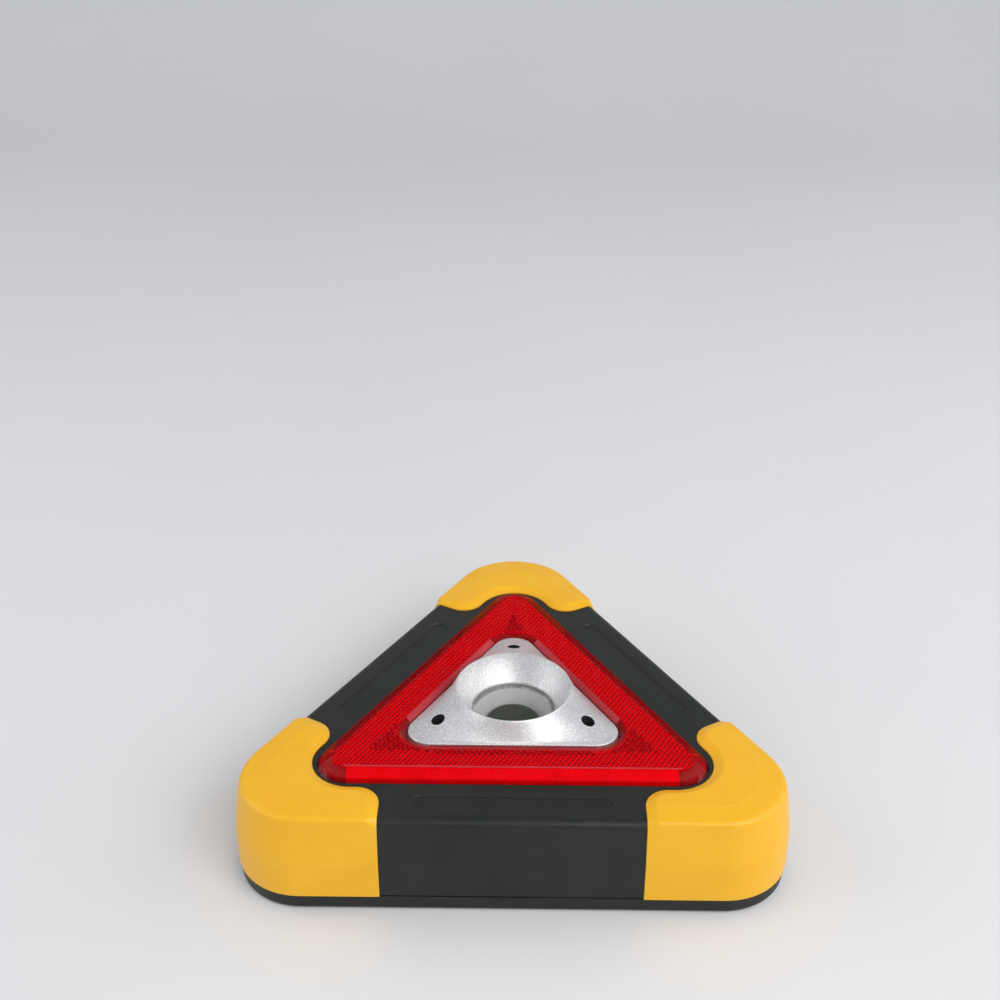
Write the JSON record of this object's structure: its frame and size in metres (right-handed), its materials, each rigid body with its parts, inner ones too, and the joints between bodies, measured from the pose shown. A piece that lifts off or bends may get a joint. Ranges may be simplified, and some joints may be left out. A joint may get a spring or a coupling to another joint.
{
  "type": "warning lamp",
  "caption": "Triangular LED warning lamp: black case, yellow corner guards, red ring lens, centre work light and a folding stand on the back.",
  "frame": {"origin": "centre of the bounding box in X and Y, on the back face", "axes": "+X along the lower side, +Y towards the top corner, +Z out of the light face"},
  "size_m": [0.1852, 0.1668, 0.0452],
  "materials": {
    "black_abs": "satin",
    "yellow_tpe": "satin",
    "red_lens": "gloss",
    "satin_reflector": "satin silver",
    "clear_lens": "gloss",
    "white_abs": "matte",
    "white_board": "satin",
    "green_board": "satin",
    "dark_parts": "matte",
    "led_chip": "satin",
    "led_package": "satin",
    "light_pipe": "gloss",
    "red_button": "satin",
    "aluminium": "brushed",
    "steel": "satin",
    "black_rubber": "matte",
    "cell_wrap": "gloss",
    "red_wire": "satin",
    "black_wire": "satin",
    "yellow_wire": "satin"
  },
  "bodies": {
    "housing": {"front_frame": "black_abs", "back_cover": "black_abs", "guard_top_corner": "yellow_tpe", "guard_left_corner": "yellow_tpe", "guard_right_corner": "yellow_tpe", "red_lens": "red_lens", "lens_seal": "black_rubber", "reflector": "satin_reflector", "convex_lens": "clear_lens", "lens_holder": "white_abs", "star_board": "white_board", "main_led": "led_chip", "heat_sink": "aluminium", "led_chassis": "white_abs", "ring_board": "white_board", "red_leds": "led_package", "control_board": "green_board", "board_parts": "dark_parts", "usb_socket": "steel", "tact_switch": "dark_parts", "status_lights": "light_pipe", "port_strap": "black_rubber", "battery_cells": "cell_wrap", "contact_springs": "steel", "contact_plates": "steel", "stand_pins": "steel", "case_screws": "steel", "reflector_screws": "dark_parts", "chassis_screws": "steel", "case_gasket": "black_rubber", "lead_red": "red_wire", "lead_black": "black_wire", "led_leads": "yellow_wire"},
    "stand": {"stand": "black_abs", "stand_foot": "black_rubber"},
    "door": {"battery_door": "black_abs"},
    "button": {"power_button": "red_button", "switch_plunger": "white_abs"},
    "port_flap": {"port_cover": "black_rubber"}
  },
  "joints": [
    {"name": "stand_hinge", "type": "hinge", "parent": "housing", "child": "stand", "pos_m": [0, 0, 0.0034], "axis": [1, 0, 0], "range_deg": [0, 110]},
    {"name": "door_hinge", "type": "hinge", "parent": "housing", "child": "door", "pos_m": [0, -0.0279, 0.0017], "axis": [1, 0, 0], "range_deg": [0, 75]},
    {"name": "button_press", "type": "slide", "parent": "housing", "child": "button", "axis": [-0.866, -0.5, 0], "range_m": [0, 0.0008], "stiffness_N_per_m": 800, "springref_m": -0.0004},
    {"name": "port_flap_hinge", "type": "hinge", "parent": "housing", "child": "port_flap", "pos_m": [0.04658, 0.02121, 0.0254], "axis": [0, 0, 1], "range_deg": [0, 95]}
  ]
}
